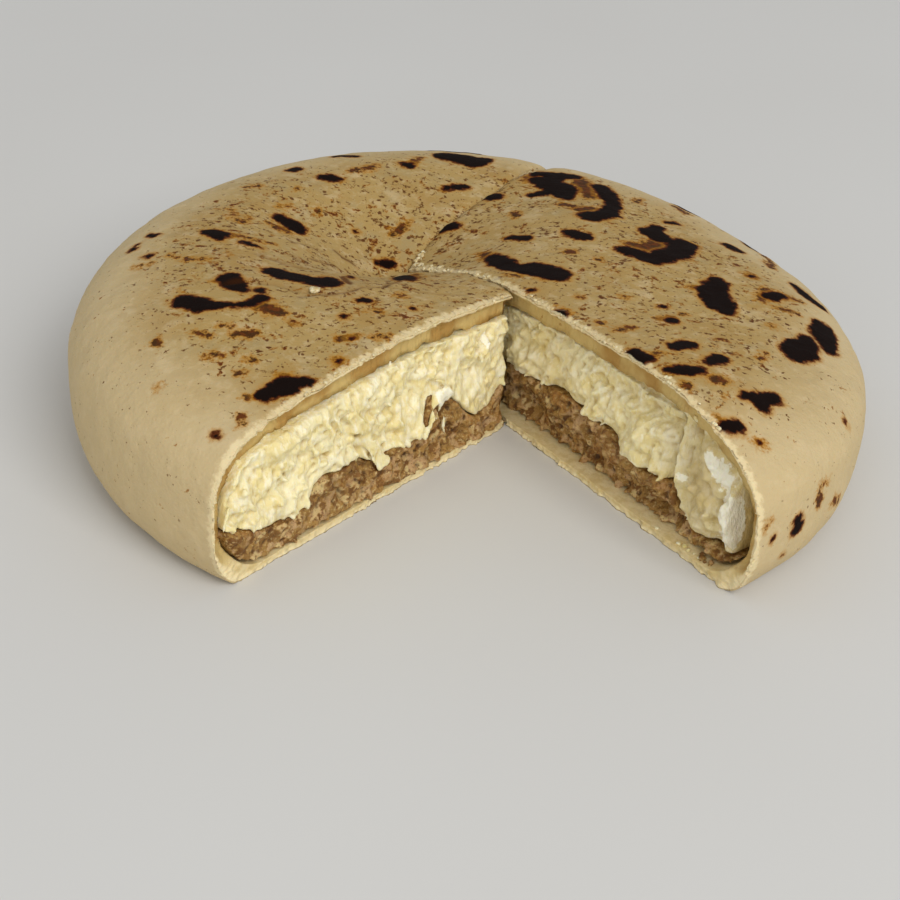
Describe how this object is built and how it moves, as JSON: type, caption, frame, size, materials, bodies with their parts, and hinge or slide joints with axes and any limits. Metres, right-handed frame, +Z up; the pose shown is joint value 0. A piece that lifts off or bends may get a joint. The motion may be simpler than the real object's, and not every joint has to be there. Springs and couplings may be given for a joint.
{
  "type": "stuffed flatbread with a quarter cut out",
  "caption": "Round griddled flatbread, stuffed with curd cheese over spiced mince, cut with a quarter taken out so that the layers show.",
  "frame": {"origin": "under the middle of the round, on the flat face that it rests on", "axes": "+Z up out of the top crust, -Y towards the missing quarter, +X to the right of it"},
  "size_m": [0.15, 0.1428, 0.0327],
  "materials": {
    "dough": "dry floury griddled dough, pale tan with dark scorch marks and fine specks",
    "curd": "moist torn curd cheese, pale yellow",
    "mince": "cooked fine mince, brown and granular, slightly moist"
  },
  "bodies": {
    "root": {"dough_large": "dough", "dough_quarter": "dough", "curd_large": "curd", "curd_quarter": "curd", "curd_lump": "curd", "mince_large": "mince", "mince_quarter": "mince"}
  },
  "joints": []
}
